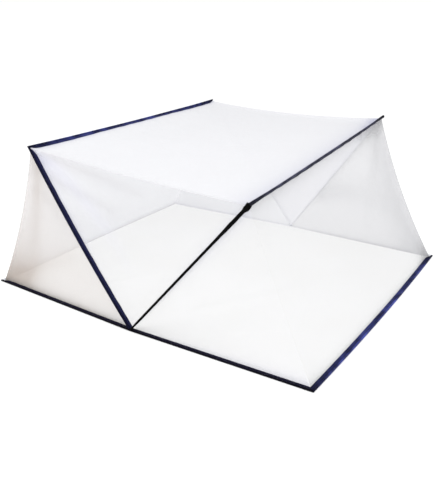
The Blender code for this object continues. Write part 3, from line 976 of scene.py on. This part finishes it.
# how much of each panel is thread; its tint, the white net set darker per panel as painted shade where that
# panel lies in shade; and the tint painted darker as shade where it gathers along a tape
netLooks = {
    "roof_panel": {"cover": 0.62, "tint": (0.818, 0.820, 0.845), "gatheredShade": (0.54, 0.55, 0.66)},
    "head_panel": {"cover": 0.62, "tint": (0.880, 0.885, 0.915), "gatheredShade": (0.66, 0.64, 0.66)},
    "foot_panel": {"cover": 0.08, "tint": (0.91, 0.91, 0.93), "gatheredShade": (0.46, 0.46, 0.47)},
    # the near head gusset is tinted warm and darker: a painted shadow
    "near_head_gusset": {"cover": 0.28, "tint": (0.78, 0.735, 0.710), "gatheredShade": (0.52, 0.45, 0.40)},
    "near_mid_gusset": {"cover": 0.06, "tint": (0.92, 0.92, 0.95), "gatheredShade": (0.66, 0.66, 0.92)},
    "near_foot_gusset": {"cover": 0.06, "tint": (0.92, 0.92, 0.95), "gatheredShade": (0.66, 0.66, 0.92)},
    "far_head_gusset": {"cover": 0.60, "tint": (0.78, 0.785, 0.815), "gatheredShade": (0.70, 0.70, 0.74)},
    "far_mid_gusset": {"cover": 0.60, "tint": (0.78, 0.78, 0.82), "gatheredShade": (0.66, 0.66, 0.72)},
    "far_foot_gusset": {"cover": 0.60, "tint": (0.738, 0.738, 0.758), "gatheredShade": (0.55, 0.55, 0.57)},
}

# the far seam at the foot end is the denser one
seamLooks = {
    "plain": {"cover": 0.03, "tint": (0.88, 0.88, 0.89)},
    "dense": {"cover": 0.75, "tint": (0.55, 0.55, 0.56)},
}
denseSeams = ("far_foot_seam",)

netWeave = {
    "cell": 0.0022,
    "patchScale": 2.0,
    "patch": (0.96, 1.04),      # the cover varies this much from place to place
    "thread": (0.60, 1.40),     # and this much from a hole to a thread
    "gatherCover": 0.22,
}


def netMaterial(name, cover, tint, gatheredShade=None):
    material, tree, shader = newMaterial(name + "Net", Roughness=0.6, Specular_IOR_Level=0.10,
                                         Sheen_Weight=0.05)
    uv = uvNode(tree)
    mesh = placeGroup(tree, netGroup, Vector=uv, Cell=netWeave["cell"])
    gatherAndShade = attributeNode(tree, "gatherAndShade")
    patchy = rampNode(tree, noiseNode(tree, uv, netWeave["patchScale"], 1.0), 0.3, 0.7, *netWeave["patch"])
    base = mathNode(tree, "MULTIPLY", patchy, cover)
    base = mathNode(tree, "ADD", base, mathNode(tree, "MULTIPLY", gatherAndShade, netWeave["gatherCover"]))
    thread = rampNode(tree, mesh.outputs["Thread"], 0.0, 1.0, *netWeave["thread"])
    alpha = mathNode(tree, "MINIMUM", mathNode(tree, "MULTIPLY", base, thread), 1.0)
    tree.links.new(alpha, shader.inputs["Alpha"])
    # painted shade: the net is tinted darker where it is gathered along the tapes, into corners and along
    # narrow folds
    tree.links.new(mixNode(tree, gatherAndShade, tint, gatheredShade or tint), shader.inputs["Base Color"])
    bumpFrom(tree, shader, mesh.outputs["Thread"], 0.25, 0.0002)
    return material


def floorMaterial():
    material, tree, shader = newMaterial("floorCloth", Roughness=0.85, Specular_IOR_Level=0.15,
                                         Sheen_Weight=0.05)
    uv = uvNode(tree)
    weave = placeGroup(tree, weaveGroup, Vector=uv, Pitch=0.0012)
    soft = rampNode(tree, noiseNode(tree, uv, 2.2), 0.3, 0.7)
    colour = mixNode(tree, soft, (0.885, 0.885, 0.880), (0.915, 0.917, 0.920))
    # painted shade in the hollows of the weave
    hollowShade = rampNode(tree, weave.outputs["Height"], 0.2, 0.8, 0.5, 0.0)
    colour = mixNode(tree, hollowShade, colour, (0.84, 0.84, 0.84))
    tree.links.new(colour, shader.inputs["Base Color"])
    bumpFrom(tree, shader, weave.outputs["Height"], 0.35, 0.0003)
    return material


studio = {
    "floorSize": 240, "floorDrop": 0.0005, "floorTone": 0.95, "floorGlow": 0.25,
    "sky": 0.80,
    "key": 84.0, "keyPlace": (1.0, -1.8, 4.4), "keySize": 4.0, "keyAim": (0, 0, 0.3),
}


def makeStage():
    pickNone()
    bpy.ops.mesh.primitive_plane_add(size=studio["floorSize"], location=(0, 0, -studio["floorDrop"]))
    stage = bpy.context.object
    stage.name = "studio_floor"
    material, _, shader = newMaterial("studioFloor", Roughness=1.0, Specular_IOR_Level=0.0)
    tone = studio["floorTone"]
    shader.inputs["Base Color"].default_value = (tone, tone, tone, 1)
    shader.inputs["Emission Color"].default_value = (1, 1, 1, 1)
    shader.inputs["Emission Strength"].default_value = studio["floorGlow"]
    stage.data.materials.append(material)


def makeLights():
    world = bpy.data.worlds.new("studio")
    world.use_nodes = True
    sky = world.node_tree.nodes["Background"]
    sky.inputs["Color"].default_value = (1, 1, 1, 1)
    sky.inputs["Strength"].default_value = studio["sky"]
    bpy.context.scene.world = world
    place = Vector(studio["keyPlace"])
    bpy.ops.object.light_add(type="AREA", location=place)
    key = bpy.context.object
    key.data.size = studio["keySize"]
    key.data.energy = studio["key"]
    key.rotation_euler = (Vector(studio["keyAim"]) - place).to_track_quat("-Z", "Y").to_euler()


# angles in degrees, and the lens and its film in millimetres
eye = {"place": (1.8363, -2.6945, 1.5085), "down": 22.90, "turn": 34.73, "roll": -1.34, "lens": 44.9,
       "film": 36, "farthest": 500}


def makeCamera():
    down, turn, roll = (math.radians(eye[key]) for key in ("down", "turn", "roll"))
    forward = Vector((-math.sin(turn) * math.cos(down), math.cos(turn) * math.cos(down), -math.sin(down)))
    level = Vector((math.cos(turn), math.sin(turn), 0))
    upright = level.cross(forward)
    right = level * math.cos(roll) + upright * math.sin(roll)
    up = upright * math.cos(roll) - level * math.sin(roll)
    bpy.ops.object.camera_add(location=eye["place"])
    camera = bpy.context.object
    camera.rotation_euler = Matrix((right, up, -forward)).transposed().to_euler()
    camera.data.lens = eye["lens"]
    camera.data.sensor_width = eye["film"]
    camera.data.clip_end = eye["farthest"]
    bpy.context.scene.camera = camera


def letLightThrough(piece):
    # a sheer net shades neither the floor nor the net behind it
    piece.visible_shadow = False
    piece.visible_diffuse = False


makeCamera()
makeLights()
makeStage()
bpy.context.scene.view_settings.view_transform = "Standard"

bars = layOutBars()
print("tapes")
tapeMaterials = {name: tapeMaterial(name) for name in tapeColours}
threadMaterials = {name: threadMaterial(name) for name in tapeColours}
for name in bars:
    piece = makeTape(bars, name)
    piece.data.materials.append(tapeMaterials[finishOf(name)])
    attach(piece, "root")
    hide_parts(name)
    threads = makeStitches(bars, name)
    threads.data.materials.append(threadMaterials[finishOf(name)])
    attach(threads, "root")

print("net panels")
for name, panel in panels.items():
    piece = makePanel(bars, name)
    piece.data.materials.append(netMaterial(piece.name, **netLooks[name]))
    letLightThrough(piece)
    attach(piece, "root")
    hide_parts(name)

print("seams")
seamNets = {name: netMaterial(name + "Seam", **look) for name, look in seamLooks.items()}
for name in ("roof_panel", "head_panel", "foot_panel"):
    for side in sides:
        piece = makeSeam(bars, name, side)
        piece.data.materials.append(seamNets["dense" if piece.name in denseSeams else "plain"])
        letLightThrough(piece)
        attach(piece, "root")

print("floor")
floorPiece = makeFloor()
floorPiece.data.materials.append(floorMaterial())
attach(floorPiece, "root")
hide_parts("floor_sheet")
